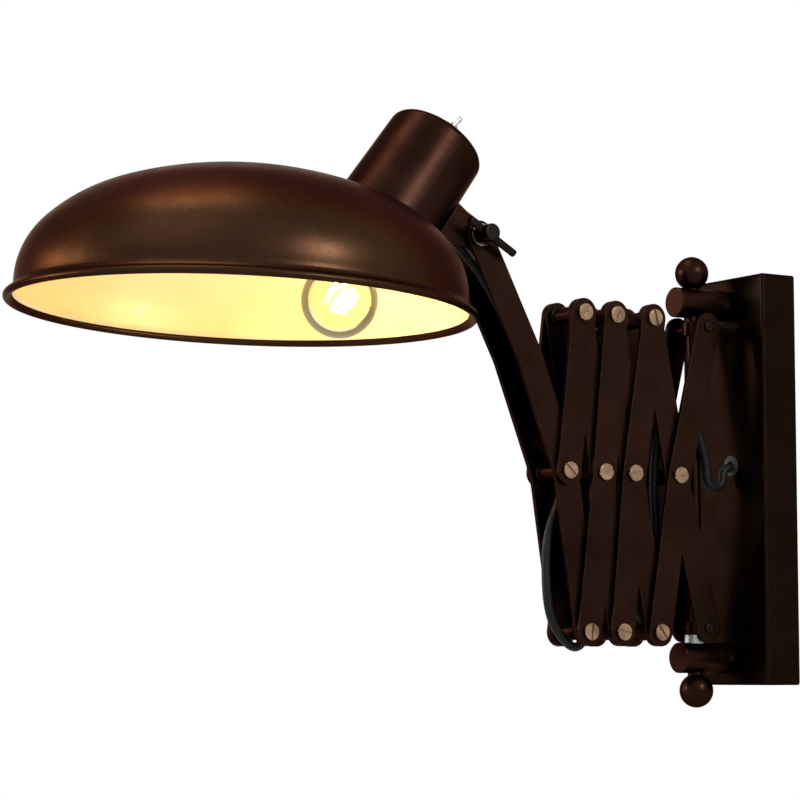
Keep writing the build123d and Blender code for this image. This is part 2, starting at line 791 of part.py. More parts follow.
# ================================================================ knuckle lug
ear_x = spacer_half - side_clear - friction_t - side_clear
lug_plane = Plane(origin=neck_foot, x_dir=neck_side_dir, z_dir=(1, 0, 0))
saddle_in = neck_r_top - saddle_t
saddle_low = knuckle_up - saddle_below
saddle_high = knuckle_up + saddle_above
with BuildPart() as knuckle_lug:
    for x_low in (ear_x - ear_t, -ear_x):
        with BuildSketch(lug_plane.offset(x_low)):
            with BuildLine():
                Polyline(
                    (saddle_in, saddle_low),
                    (neck_r_low + saddle_t, saddle_low),
                    (knuckle_side, knuckle_up - lug_r),
                    (knuckle_side, knuckle_up + lug_r),
                    (neck_r_low + saddle_t, saddle_high),
                    (saddle_in, saddle_high),
                    close=True,
                )
            make_face()
            with Locations((knuckle_side, knuckle_up)):
                Circle(lug_r)
            with Locations((knuckle_side, knuckle_up)):
                Circle(bolt_r + bolt_clear, mode=Mode.SUBTRACT)
        extrude(amount=ear_t)
    with BuildSketch(lug_plane.offset(-saddle_w / 2)):
        with Locations(((saddle_in + neck_r_low + saddle_t) / 2, (saddle_low + saddle_high) / 2)):
            Rectangle(neck_r_low + saddle_t - saddle_in, saddle_high - saddle_low)
    extrude(amount=saddle_w)
    with BuildSketch(neck_section):
        with BuildLine():
            Polyline(
                (0, neck_top),
                (neck_r_top + neck_seat, neck_top),
                (neck_r_low + neck_seat, -neck_skirt),
                (0, -neck_skirt),
                close=True,
            )
        make_face()
    revolve(axis=neck_axis, mode=Mode.SUBTRACT)
    with BuildSketch(Plane(origin=in_neck(0, cable_up), x_dir=(1, 0, 0), z_dir=neck_side_dir)):
        Circle(cable_r + cable_clear)
    extrude(amount=knuckle_side, mode=Mode.SUBTRACT)
finish(knuckle_lug.part, "knuckle_lug")

with BuildPart() as friction_washers:
    for x_low in (ear_x + side_clear, -ear_x - side_clear - friction_t):
        with BuildSketch(Plane.YZ.offset(x_low)):
            with Locations(knuckle):
                Circle(friction_r)
                Circle(bolt_r + bolt_clear, mode=Mode.SUBTRACT)
        extrude(amount=friction_t)
finish(friction_washers.part, "friction_washers")

# ================================================================ lampholder and its support
holder_section = section_plane(holder_foot, neck_tilt)
with BuildPart() as lampholder:
    with BuildSketch(holder_section):
        with BuildLine():
            Polyline(
                (cap_r + hole_clear, holder_low),
                (holder_r, holder_low),
                (holder_r, holder_low + holder_ring_h),
                (holder_ring_r, holder_low + holder_ring_h + 1.0),
                (holder_ring_r, holder_low + 2 * holder_ring_h - 1.0),
                (holder_r, holder_low + 2 * holder_ring_h),
                (holder_r, holder_top),
                (nipple_r + stud_clear, holder_top),
                (nipple_r + stud_clear, holder_top - holder_roof),
                (holder_r - holder_wall, holder_top - holder_roof),
                (holder_r - holder_wall, bulb_base + holder_roof),
                (cap_r + hole_clear, bulb_base + holder_roof),
                close=True,
            )
        make_face()
    revolve(axis=holder_axis)
    roof_rings = lampholder.edges().filter_by(GeomType.CIRCLE).group_by(holder_axis)[-1]
    fillet(roof_rings.sort_by(SortBy.RADIUS)[-1], 2.0)
    with BuildSketch(Plane(origin=in_neck(0, cable_up), x_dir=(1, 0, 0), z_dir=neck_side_dir)):
        Circle(cable_r + cable_clear)
    extrude(amount=neck_r_low, mode=Mode.SUBTRACT)
finish(lampholder.part, "lampholder")

neck_taper = (neck_r_low - neck_r_top) / (neck_top + neck_skirt)
bracket_inner_r = neck_r_top - neck_t + neck_taper * (neck_top - bracket_z)
with BuildPart() as holder_bracket:
    with BuildSketch(base_plane(in_neck(0, bracket_z), neck_tilt)):
        Circle(bracket_inner_r - neck_seat)
        with Locations((0, holder_shift)):
            Rectangle(4 * neck_r_low, bracket_w, mode=Mode.INTERSECT)
            Circle(nipple_r + stud_clear, mode=Mode.SUBTRACT)
    extrude(amount=bracket_t)
finish(holder_bracket.part, "holder_bracket")

with BuildPart() as holder_nipple:
    with BuildSketch(base_plane(in_neck(holder_shift, holder_top - holder_roof), neck_tilt)):
        Circle(nipple_r)
        Circle(nipple_bore_r, mode=Mode.SUBTRACT)
    extrude(amount=bracket_z + bracket_t + nipple_nut_h + 1.0 - holder_top + holder_roof)
    for nut_low in (bracket_z - nipple_nut_h, bracket_z + bracket_t):
        with BuildSketch(base_plane(in_neck(holder_shift, nut_low), neck_tilt)):
            RegularPolygon(nipple_nut_af / 2, 6, major_radius=False)
            Circle(nipple_r + stud_clear, mode=Mode.SUBTRACT)
        extrude(amount=nipple_nut_h)
finish(holder_nipple.part, "holder_nipple")

# ================================================================ bulb
glass_low = bulb_base - cap_len + 4.0
blend_r = 14.0
with BuildPart() as bulb_glass:
    with BuildSketch(holder_section):
        reach = math.sqrt((bulb_r + blend_r) ** 2 - (bulb_neck_r + blend_r) ** 2)
        lean = math.degrees(math.asin((bulb_neck_r + blend_r) / (bulb_r + blend_r)))
        for inset, mode in ((0.0, Mode.ADD), (glass_t, Mode.SUBTRACT)):
            with BuildLine():
                ball = CenterArc((0, bulb_z), bulb_r - inset, -90, 180 - lean)
                waist = CenterArc((bulb_neck_r + blend_r, bulb_z + reach), blend_r + inset, 180, 90 - lean)
                Polyline(waist @ 0, (bulb_neck_r - inset, glass_low), (0, glass_low), ball @ 0)
            make_face(mode=mode)
    revolve(axis=holder_axis)
finish(bulb_glass.part, "bulb_glass")

with BuildPart() as bulb_cap:
    with BuildSketch(holder_section):
        with BuildLine():
            Polyline(
                (cap_r, bulb_base - cap_len),
                (cap_r, bulb_base - 3.0),
                (6.0, bulb_base),
                (0, bulb_base),
                (0, bulb_base - 1.5),
                (5.0, bulb_base - 1.5),
                (bulb_neck_r + 0.1, bulb_base - 4.0),
                (bulb_neck_r + 0.1, bulb_base - cap_len),
                close=True,
            )
        make_face()
    revolve(axis=holder_axis)
finish(bulb_cap.part, "bulb_cap")

# ================================================================ switch on the neck's cap
switch_seat = neck_top - neck_t
with BuildPart() as switch_body:
    with BuildSketch(base_plane(in_neck(switch_side, switch_seat - 0.1, switch_x), neck_tilt)):
        Rectangle(switch_size[0], switch_size[1])
    extrude(amount=-switch_size[2])
    with BuildSketch(base_plane(in_neck(switch_side, switch_seat - 0.1, switch_x), neck_tilt)):
        Circle(switch_bush_r)
    extrude(amount=switch_bush_len + neck_t)
    with BuildSketch(base_plane(in_neck(switch_side, neck_top + switch_bush_len, switch_x), neck_tilt)):
        Circle(bat_ball_r + bat_play)
    extrude(amount=-(2 * bat_ball_r + bat_play + bat_sink), mode=Mode.SUBTRACT)
finish(switch_body.part, "switch_body")

with BuildPart() as switch_nut:
    with BuildSketch(base_plane(in_neck(switch_side, neck_top + 0.05, switch_x), neck_tilt)):
        RegularPolygon(switch_nut_af / 2, 6, major_radius=False)
        Circle(switch_bush_r + stud_clear, mode=Mode.SUBTRACT)
    extrude(amount=switch_nut_h)
finish(switch_nut.part, "switch_nut")

bat_foot = in_neck(switch_side, neck_top + switch_bush_len - bat_ball_r - bat_sink, switch_x)
bat_axis = Axis(bat_foot, tilted(neck_tilt + bat_lean))
with BuildPart() as switch_bat:
    with BuildSketch(section_plane(bat_foot, neck_tilt + bat_lean)):
        with BuildLine():
            foot = CenterArc((0, 0), bat_ball_r, -90, 90 + 50)
            tip = CenterArc((0, bat_len), bat_r_tip, 0, 90)
            Polyline(foot @ 1, (bat_r_root, 2.2), tip @ 0)
            Line(tip @ 1, foot @ 0)
        make_face()
    revolve(axis=bat_axis)
finish(switch_bat.part, "switch_bat")

# ================================================================ cable
knuckle_pass = (
    knuckle[0] - (bolt_pass + 0.2) * math.sin(math.radians(49.2)),
    knuckle[1] - (bolt_pass + 0.2) * math.cos(math.radians(49.2)),
)
cable_end = in_neck(holder_shift + holder_r - holder_wall - 1.0, cable_up)
route = [
    Vector(grommet_x, block_y, block_top - block_grip),
    Vector(grommet_x, block_y, grommet_z),
    Vector(grommet_x, -33.2, grommet_z),
    Vector(grommet_x, -33.2, -4.5),
    Vector(grommet_x, -46.0, -5.0),
    Vector(grommet_x, -47.0, 15.0),
    Vector(grommet_x, -57.5, 38.0),
    Vector(3.0, -79.0, 34.5),
    Vector(0.0, -82.6, 1.0),
    Vector(0.0, -80.4, -30.0),
    Vector(0.0, -81.5, -58.0),
    Vector(0.0, bottom(1)[0] + fold_side, bottom(1)[1] + fold_in),
    Vector(0.0, bottom(1)[0] - fold_side, bottom(1)[1] + fold_in),
    Vector(0.0, -96.6, -58.0),
    Vector(0.0, -99.4, -30.0),
    Vector(0.0, -100.2, 2.0),
    Vector(0.0, -104.5, 36.0),
    Vector(0.0, -109.8, 62.0),
    Vector(0.0, top(2)[0] + fold_side, top(2)[1] - fold_in),
    Vector(0.0, top(2)[0] - fold_side, top(2)[1] - fold_in),
    Vector(0.0, -127.6, 58.0),
    Vector(0.0, -124.6, 30.0),
    Vector(0.0, -122.9, 0.0),
    Vector(0.0, -127.5, -36.0),
    Vector(0.0, -132.3, -66.0),
    Vector(0.0, bottom(3)[0] + 9.8, bottom(3)[1] + 9.95),
    Vector(0.0, bottom(3)[0] + 7.8, bottom(3)[1] - 5.55),
    Vector(0.0, bottom(3)[0] - 0.5, bottom(3)[1] - 10.65),
    Vector(0.0, bottom(3)[0] - 10.8, bottom(3)[1] - 2.45),
    Vector(0.0, bottom(3)[0] - 18.6, bottom(3)[1] + 9.45),
    Vector(0.0, -165.2, -66.0),
    Vector(0.0, -164.4, -38.0),
    Vector(0.0, -152.5, -12.0),
    Vector(0.0, -148.6, 3.0),
    Vector(0.0, *along(centre(4), arm_elbow, 26.0, 2.0)),
    Vector(0.0, *along(arm_elbow, knuckle, 1.0, 3.0)),
    Vector(0.0, *along(arm_elbow, knuckle, 44.0, 1.0)),
    Vector(0.0, *knuckle_pass),
    cable_end,
]


def turn_radius(i):
    """Radius at the route's corner i, as large as nine tenths of its two half runs allow."""
    before, after = route[i] - route[i - 1], route[i + 1] - route[i]
    turn = math.radians(before.get_angle(after))
    return 0.45 * min(before.length, after.length) / math.tan(turn / 2)


def cable_piece(first, last):
    """The cable round the route's corners first to last, cut square in the middle of its end runs."""
    start = route[0] if first == 1 else (route[first - 1] + route[first]) / 2
    end = route[-1] if last == len(route) - 2 else (route[last] + route[last + 1]) / 2
    radii = [turn_radius(i) for i in range(first, last + 1)]
    print("cable corners", first, "to", last, "radii", [round(r, 1) for r in radii])
    with BuildPart() as piece:
        with BuildLine() as line:
            FilletPolyline(start, *route[first : last + 1], end, radius=radii)
        with BuildSketch(Plane(origin=start, z_dir=route[first] - start)):
            Circle(cable_r)
        sweep()
    length = sum(edge.length for edge in line.edges())
    cable_volume = piece.part.volume / (math.pi * cable_r**2)
    print("  length", round(length, 1), "volume over section", round(cable_volume, 1))
    return piece.part


cable_corners = {
    "cable_entry": (1, 4),
    "cable_loop": (5, 6),
    "cable_stage_1": (7, 10),
    "cable_stage_2": (11, 17),
    "cable_stage_3": (18, 25),
    "cable_arm": (26, 33),
    "cable_head": (34, 37),
}
for name, corners in cable_corners.items():
    finish(cable_piece(*corners), name)

print("nodes", len(built))
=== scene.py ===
import math

import bmesh
import bpy
from mathutils import Matrix, Vector


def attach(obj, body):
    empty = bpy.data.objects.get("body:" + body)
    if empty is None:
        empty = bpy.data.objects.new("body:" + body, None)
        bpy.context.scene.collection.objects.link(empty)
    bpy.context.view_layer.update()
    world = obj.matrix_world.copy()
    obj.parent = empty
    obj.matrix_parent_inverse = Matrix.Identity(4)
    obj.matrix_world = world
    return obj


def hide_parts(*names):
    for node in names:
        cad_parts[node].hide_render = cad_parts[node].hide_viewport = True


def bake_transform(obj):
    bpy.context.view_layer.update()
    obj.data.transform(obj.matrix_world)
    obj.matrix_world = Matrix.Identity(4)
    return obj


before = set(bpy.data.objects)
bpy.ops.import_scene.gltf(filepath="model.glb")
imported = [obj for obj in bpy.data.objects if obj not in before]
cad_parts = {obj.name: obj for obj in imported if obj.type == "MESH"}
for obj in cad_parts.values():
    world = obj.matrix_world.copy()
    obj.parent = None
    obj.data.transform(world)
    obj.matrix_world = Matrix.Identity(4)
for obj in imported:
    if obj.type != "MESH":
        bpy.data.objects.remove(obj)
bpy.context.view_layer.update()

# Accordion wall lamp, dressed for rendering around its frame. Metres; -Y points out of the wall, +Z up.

MM = 0.001


def mm(*point):
    """A point given in millimetres, in metres."""
    return Vector(point) * MM


# ---------------------------------------------------------------- camera
SENSOR, PICTURE_PIXELS, FOCAL_PIXELS = 36.0, 800.0, 2822.3
camera_at = mm(1388.74, -1163.66, -119.71)
camera_right = Vector((0.54117, 0.84091, -0.0014))
camera_up = Vector((0.08127, -0.05065, 0.9954))
camera_back = camera_right.cross(camera_up).normalized()
camera_up = camera_back.cross(camera_right).normalized()
camera_right.normalize()
camera_data = bpy.data.cameras.new("camera")
camera = bpy.data.objects.new("camera", camera_data)
bpy.context.scene.collection.objects.link(camera)
turn = Matrix((camera_right, camera_up, camera_back)).transposed().to_4x4()
camera.matrix_world = Matrix.Translation(camera_at) @ turn
camera_data.sensor_width = SENSOR
camera_data.lens = FOCAL_PIXELS * SENSOR / PICTURE_PIXELS
camera_data.clip_end = 20.0
bpy.context.scene.camera = camera

# ---------------------------------------------------------------- node helpers


class Shader:
    """A material's node tree with short calls for the nodes that the finishes share."""

    def __init__(self, name):
        self.material = bpy.data.materials.new(name)
        self.material.use_nodes = True
        self.tree = self.material.node_tree
        self.tree.nodes.clear()
        self.output = self.add("ShaderNodeOutputMaterial")
        self.coord = self.add("ShaderNodeTexCoord")

    def add(self, kind, **values):
        node = self.tree.nodes.new(kind)
        for key, value in values.items():
            setattr(node, key, value)
        return node

    def link(self, a, b):
        self.tree.links.new(a, b)

    def noise(self, scale, detail=3.0, rough=0.5, stretch=None):
        node = self.add("ShaderNodeTexNoise")
        node.inputs["Scale"].default_value = scale
        node.inputs["Detail"].default_value = detail
        node.inputs["Roughness"].default_value = rough
        if stretch:
            place = self.add("ShaderNodeMapping")
            place.inputs["Scale"].default_value = stretch
            self.link(self.coord.outputs["Object"], place.inputs["Vector"])
            self.link(place.outputs["Vector"], node.inputs["Vector"])
        else:
            self.link(self.coord.outputs["Object"], node.inputs["Vector"])
        return node.outputs["Fac"]

    def ramp(self, fac, stops):
        node = self.add("ShaderNodeValToRGB")
        ramp = node.color_ramp
        while len(ramp.elements) < len(stops):
            ramp.elements.new(0.5)
        for element, (place, colour) in zip(ramp.elements, stops):
            element.position = place
            element.color = colour if len(colour) == 4 else (*colour, 1.0)
        self.link(fac, node.inputs["Fac"])
        return node.outputs["Color"]

    def grey(self, fac, low, high, start=0.3, end=0.7):
        node = self.add("ShaderNodeMapRange")
        for key, value in (("From Min", start), ("From Max", end), ("To Min", low), ("To Max", high)):
            node.inputs[key].default_value = value
        self.link(fac, node.inputs["Value"])
        return node.outputs["Result"]

    def mix(self, fac, a, b, blend="MIX"):
        node = self.add("ShaderNodeMix", data_type="RGBA", blend_type=blend)
        self.give(node.inputs["Factor"], fac)
        self.give(node.inputs[6], a)
        self.give(node.inputs[7], b)
        return node.outputs[2]

    def math(self, operation, a, b=None):
        node = self.add("ShaderNodeMath", operation=operation)
        self.give(node.inputs[0], a)
        if b is not None:
            self.give(node.inputs[1], b)
        return node.outputs["Value"]

    def vector(self, operation, a, b=None, out="Vector"):
        node = self.add("ShaderNodeVectorMath", operation=operation)
        self.give(node.inputs[0], a)
        if b is not None:
            self.give(node.inputs[1], b)
        return node.outputs[out]

    def give(self, socket, value):
        if isinstance(value, bpy.types.NodeSocket):
            self.link(value, socket)
        elif isinstance(value, (tuple, list)) and len(value) == 3 and socket.type == "RGBA":
            socket.default_value = (*value, 1.0)
        else:
            socket.default_value = value

    def rounded(self, radius, samples=4):
        node = self.add("ShaderNodeBevel", samples=samples)
        node.inputs["Radius"].default_value = radius
        return node.outputs["Normal"]

    def edge(self, rounded):
        """How far the rounded normal turns away from the true one: 0 on flats, to 1 on sharp edges."""
        geometry = self.add("ShaderNodeNewGeometry")
        dot = self.vector("DOT_PRODUCT", rounded, geometry.outputs["Normal"], out="Value")
        return self.grey(self.math("SUBTRACT", 1.0, dot), 0.0, 1.0, 0.02, 0.22)

    def bump(self, height, strength, distance, normal=None):
        node = self.add("ShaderNodeBump")
        node.inputs["Strength"].default_value = strength
        node.inputs["Distance"].default_value = distance
        self.link(height, node.inputs["Height"])
        if normal is not None:
            self.link(normal, node.inputs["Normal"])
        return node.outputs["Normal"]

    def surface(self, **values):
        node = self.add("ShaderNodeBsdfPrincipled")
        for key, value in values.items():
            self.give(node.inputs[key.replace("_", " ")], value)
        self.link(node.outputs["BSDF"], self.output.inputs["Surface"])
        return node


EDGE_TINT = (0.42, 0.27, 0.19)
# Darker reflection tint for the shaded copy of the bronze on the box: painted shade.
BOX_SHADE_TINT = (0.20, 0.14, 0.10)


def paint(
    name, dark, light, worn_and_lit_edge, rough, metallic, edge_radius=0.0005, grain=1400.0, edge_wear_and_highlight=0.55, tint=EDGE_TINT,
):
    """A satin painted or patinated metal: cloudy colour, fine grain, and sharp edges lighter in patches,
    partly rubbed bare and partly a painted edge highlight.
    """
    s = Shader(name)
    cloud = s.noise(28.0, 5.0, 0.6)
    speck = s.noise(520.0, 2.0, 0.6)
    colour = s.ramp(cloud, [(0.3, dark), (0.7, light)])
    colour = s.mix(s.grey(speck, 0.0, 0.22, 0.45, 0.75), colour, tuple(1.5 * c for c in light))
    rounded = s.rounded(edge_radius)
    # Sharp edges turn lighter in random patches: partly rubbed bare edges, partly a painted edge highlight.
    patches = s.grey(s.noise(160.0, 4.0, 0.7), 0.15, 1.0, 0.35, 0.65)
    edge = s.math("MULTIPLY", s.math("MULTIPLY", s.edge(rounded), patches), edge_wear_and_highlight)
    colour = s.mix(edge, colour, worn_and_lit_edge)
    roughness = s.grey(s.noise(60.0, 4.0, 0.6), rough - 0.05, rough + 0.06)
    normal = s.bump(s.noise(grain, 3.0, 0.6), 0.12, 0.0002, rounded)
    s.surface(
        Base_Color=colour, Metallic=metallic, Roughness=roughness, Normal=normal, Specular_Tint=tint,
    )
    return s.material


def plated(name, dark, light, rough, metallic=1.0, stretch=(1.0, 1.0, 1.0), edge_radius=0.0003, dirt=0.5):
    """Bare or plated metal with fine scratches, dirt in the clouds of its patina and a painted highlight on
    sharp edges.
    """
    s = Shader(name)
    cloud = s.noise(90.0, 5.0, 0.65)
    colour = s.ramp(cloud, [(0.3, dark), (0.65, light)])
    scratch = s.noise(900.0, 4.0, 0.7, stretch)
    colour = s.mix(s.grey(scratch, 0.0, 0.5 * dirt, 0.5, 0.8), colour, tuple(0.35 * c for c in dark))
    rounded = s.rounded(edge_radius)
    # Every sharp edge is mixed towards a lighter colour: a painted edge highlight.
    colour = s.mix(s.math("MULTIPLY", s.edge(rounded), 0.5), colour, tuple(min(1.0, 1.35 * c) for c in light))
    roughness = s.grey(s.noise(240.0, 4.0, 0.6), rough - 0.07, rough + 0.1)
    normal = s.bump(scratch, 0.15, 0.0001, rounded)
    s.surface(Base_Color=colour, Metallic=metallic, Roughness=roughness, Normal=normal)
    return s.material


bronze = paint("bronze", (0.012, 0.0046, 0.0030), (0.021, 0.009, 0.006), (0.15, 0.095, 0.065), 0.33, 0.95)
# The box and wall plate get a darker copy of the bronze, with a darker reflection tint: painted shade for the
# box's dark side.
bronze_box_shaded = paint(
    "bronze_box_shaded", (0.007, 0.0034, 0.0020), (0.011, 0.0058, 0.0036), (0.20, 0.14, 0.10), 0.34, 0.95,
    tint=BOX_SHADE_TINT,
)
black_steel = paint(
    "black_steel", (0.008, 0.006, 0.0055), (0.018, 0.014, 0.012), (0.12, 0.11, 0.10), 0.34, 0.95,
)
brass = plated("brass", (0.13, 0.075, 0.045), (0.34, 0.22, 0.14), 0.32)
nickel = plated("nickel", (0.20, 0.18, 0.16), (0.44, 0.41, 0.37), 0.22, stretch=(1.0, 8.0, 8.0))
zinc = plated("zinc", (0.30, 0.30, 0.30), (0.50, 0.50, 0.49), 0.34)


def make_cable():
    """Black PVC sheath: faint mottled marks and handling shine."""
    s = Shader("cable_sheath")
    colour = s.ramp(s.noise(140.0, 4.0, 0.6), [(0.35, (0.003, 0.003, 0.003)), (0.7, (0.009, 0.0085, 0.008))])
    roughness = s.grey(s.noise(300.0, 3.0, 0.5), 0.42, 0.6)
    normal = s.bump(s.noise(2200.0, 2.0, 0.6), 0.15, 0.0001)
    s.surface(Base_Color=colour, Roughness=roughness, Normal=normal, Specular_IOR_Level=0.16)
    return s.material


def make_plastic(name, dark, light, rough):
    """Moulded phenolic plastic: mottled, with a softened edge."""
    s = Shader(name)
    colour = s.ramp(s.noise(200.0, 5.0, 0.7), [(0.35, dark), (0.7, light)])
    roughness = s.grey(s.noise(420.0, 3.0, 0.5), rough - 0.06, rough + 0.08)
    normal = s.bump(s.noise(1800.0, 2.0, 0.5), 0.1, 0.0001, s.rounded(0.0004))
    s.surface(Base_Color=colour, Roughness=roughness, Normal=normal)
    return s.material


cable_sheath = make_cable()
black_plastic = make_plastic("black_plastic", (0.010, 0.009, 0.009), (0.022, 0.020, 0.019), 0.35)
rubber = make_plastic("rubber", (0.009, 0.009, 0.009), (0.018, 0.018, 0.018), 0.6)
porcelain = make_plastic("porcelain", (0.55, 0.53, 0.48), (0.68, 0.66, 0.60), 0.25)

# ---------------------------------------------------------------- shade
RIM = mm(0.0, -377.0, 83.4)
TILT = math.radians(2.75)
SHADE_R, SIDE_R, SHOULDER_R, SKIRT_TOP = 129.5, 49.0, 100.0, 11.0
NECK_OUT, NECK_UP = 92.5, 65.0
dome_axis = Vector((0.0, math.sin(TILT), math.cos(TILT)))
shade_turn = Matrix.Translation(RIM) @ Matrix.Rotation(-TILT, 4, "X")


def shade_material(name, inside):
    s = Shader(name)
    if inside:
        # The inside enamel is warm yellow: partly its own cream paint, partly the painted warm light of the
        # lit bulb.
        cloud = s.noise(22.0, 5.0, 0.6)
        colour = s.ramp(cloud, [(0.3, (0.82, 0.66, 0.34)), (0.7, (0.88, 0.74, 0.42))])
        colour = s.mix(s.grey(s.noise(420.0, 3.0, 0.6), 0.0, 0.18, 0.55, 0.8), colour, (0.60, 0.52, 0.36))
        roughness = s.grey(s.noise(80.0, 3.0, 0.5), 0.28, 0.42)
        normal = s.bump(s.noise(700.0, 3.0, 0.55), 0.12, 0.0003)
        s.surface(Base_Color=colour, Roughness=roughness, Normal=normal)
    else:
        cloud = s.noise(14.0, 6.0, 0.62)
        speck = s.noise(640.0, 2.0, 0.6)
        colour = s.ramp(cloud, [(0.3, (0.022, 0.0098, 0.0050)), (0.7, (0.036, 0.0170, 0.0090))])
        colour = s.mix(s.grey(speck, 0.0, 0.2, 0.45, 0.75), colour, (0.070, 0.038, 0.022))
        rings = s.add("ShaderNodeTexWave", wave_type="RINGS", rings_direction="SPHERICAL")
        rings.inputs["Scale"].default_value = 90.0
        rings.inputs["Distortion"].default_value = 1.5
        place = s.add("ShaderNodeMapping")
        place.inputs["Location"].default_value = tuple(-c for c in RIM)
        s.link(s.coord.outputs["Object"], place.inputs["Vector"])
        s.link(place.outputs["Vector"], rings.inputs["Vector"])
        roughness = s.grey(s.noise(46.0, 4.0, 0.6), 0.30, 0.40)
        grain = s.mix(0.15, s.noise(1300.0, 3.0, 0.6), rings.outputs["Fac"])
        normal = s.bump(grain, 0.10, 0.0002)
        s.surface(
            Base_Color=colour, Metallic=0.95, Roughness=roughness, Normal=normal, Specular_Tint=EDGE_TINT,
        )
    return s.material


shade_outside = shade_material("shade_bronze", False)
shade_inside = shade_material("shade_enamel", True)


def arc(centre, radius, start, end, count):
    points = []
    for i in range(count + 1):
        a = math.radians(start + (end - start) * i / count)
        points.append((centre[0] + radius * math.cos(a), centre[1] + radius * math.sin(a)))
    return points


def dome_line(inset, count):
    """The dome's profile (radius, height) from the skirt's top to the crown, in millimetres."""
    side, shoulder = math.radians(45.0), math.radians(70.0)
    c1 = (SHADE_R - SIDE_R, SKIRT_TOP)
    reach = SHOULDER_R - SIDE_R
    c2 = (c1[0] - reach * math.cos(side), c1[1] - reach * math.sin(side))
    crown = SHOULDER_R + c2[0] / math.cos(shoulder)
    c3 = (0.0, c2[1] - (crown - SHOULDER_R) * math.sin(shoulder))
    line = arc(c1, SIDE_R - inset, 0.0, 45.0, count)
    line += arc(c2, SHOULDER_R - inset, 45.0, 70.0, count)[1:]
    line += arc(c3, crown - inset, 70.0, 90.0, count)[1:]
    return line


NECK_TILT = math.radians(36.75)
neck_side = Vector((0.0, math.cos(NECK_TILT), -math.sin(NECK_TILT)))
neck_foot = RIM + Vector((0.0, math.cos(TILT), -math.sin(TILT))) * NECK_OUT * MM + dome_axis * NECK_UP * MM


def turned(name, profile, place, segments=160, closed=True):
    """A mesh turned from a (radius, height, material) profile in millimetres about the local Z axis."""
    mesh = bpy.data.meshes.new(name)
    bm = bmesh.new()
    rings = []
    for point in profile:
        if abs(point[0]) < 1e-6:
            rings.append([bm.verts.new((0.0, 0.0, point[1] * MM))])
            continue
        ring = []
        for i in range(segments):
            a = 2.0 * math.pi * i / segments
            across, along = point[0] * MM * math.cos(a), point[0] * MM * math.sin(a)
            ring.append(bm.verts.new((across, along, point[1] * MM)))
        rings.append(ring)
    pairs = list(zip(range(len(rings)), range(1, len(rings))))
    if closed:
        pairs.append((len(rings) - 1, 0))
    for a, b in pairs:
        low, high = rings[a], rings[b]
        if len(low) == 1 and len(high) == 1:
            continue
        for i in range(segments):
            j = (i + 1) % segments
            corners = [low[i % len(low)], low[j % len(low)], high[j % len(high)], high[i % len(high)]]
            unique = list(dict.fromkeys(corners))
            face = bm.faces.new(unique)
            face.material_index = profile[a][2] if len(profile[a]) > 2 else 0
            face.smooth = True
    bmesh.ops.recalc_face_normals(bm, faces=bm.faces)
    bm.to_mesh(mesh)
    bm.free()
    thing = bpy.data.objects.new(name, mesh)
    bpy.context.scene.collection.objects.link(thing)
    thing.matrix_world = place
    return thing


def smooth_by_angle(thing, angle=32.0):
    bpy.context.view_layer.objects.active = thing
    for other in bpy.context.selected_objects:
        other.select_set(False)
    thing.select_set(True)
    bpy.ops.object.shade_smooth_by_angle(angle=math.radians(angle))
    thing.select_set(False)


outside, inside = 0, 1
bead = (132.7, 2.3)
profile = [(r, z, outside) for r, z in dome_line(0.0, 24)[::-1]]
profile += [(129.5, 8.4, outside), (129.7, 7.6, outside), (130.4, 6.6, outside), (131.3, 5.6, outside)]
profile += [(r, z, outside) for r, z in arc(bead, 2.3, 88.0, -196.0, 22)]
profile += [(129.6, 3.6, inside), (128.9, 5.0, inside), (128.5, 6.6, inside), (128.5, 9.0, inside)]
profile += [(r, z, inside) for r, z in dome_line(1.0, 24)]
shade = turned("shade_shell", profile, shade_turn, 224)
shade.data.materials.append(shade_outside)
shade.data.materials.append(shade_inside)

cutter_mesh = bpy.data.meshes.new("opening_cutter")
bm = bmesh.new()
bmesh.ops.create_cone(bm, cap_ends=True, segments=96, radius1=25.0 * MM, radius2=25.0 * MM, depth=44.0 * MM)
bm.to_mesh(cutter_mesh)
bm.free()
cutter = bpy.data.objects.new("opening_cutter", cutter_mesh)
bpy.context.scene.collection.objects.link(cutter)
cutter.matrix_world = Matrix.Translation(neck_foot) @ Matrix.Rotation(-NECK_TILT, 4, "X")
cut = shade.modifiers.new("opening", "BOOLEAN")
cut.operation = "DIFFERENCE"
cut.object = cutter
cut.solver = "EXACT"
bpy.context.view_layer.update()
graph = bpy.context.evaluated_depsgraph_get()
opened = bpy.data.meshes.new_from_object(shade.evaluated_get(graph))
shade.modifiers.clear()
shade.data = opened
bpy.data.objects.remove(cutter)
smooth_by_angle(shade, 40.0)
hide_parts("shade")
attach(shade, "head")

# ---------------------------------------------------------------- bulb
HOLDER = neck_foot + neck_side * 5.0 * MM
holder_place = Matrix.Translation(HOLDER) @ Matrix.Rotation(-NECK_TILT, 4, "X")
BULB_Z = -56.7
BULB_R = 22.5
BULB_FOOT = -19.5
GLASS_T = 0.8
blend_r, bulb_neck_r = 14.0, 12.2
reach = math.sqrt((BULB_R + blend_r) ** 2 - (bulb_neck_r + blend_r) ** 2)
lean = math.degrees(math.asin((bulb_neck_r + blend_r) / (BULB_R + blend_r)))
line = arc((0.0, BULB_Z), BULB_R, -90.0, 90.0 - lean, 40)
line += arc((bulb_neck_r + blend_r, BULB_Z + reach), blend_r, 270.0 - lean, 180.0, 12)[1:]
line += [(bulb_neck_r, BULB_FOOT), (bulb_neck_r - GLASS_T, BULB_FOOT)]
line += arc((0.0, BULB_Z), BULB_R - GLASS_T, 90.0 - lean, -90.0, 24)
bulb = turned("bulb_globe", line, holder_place, 96, closed=False)


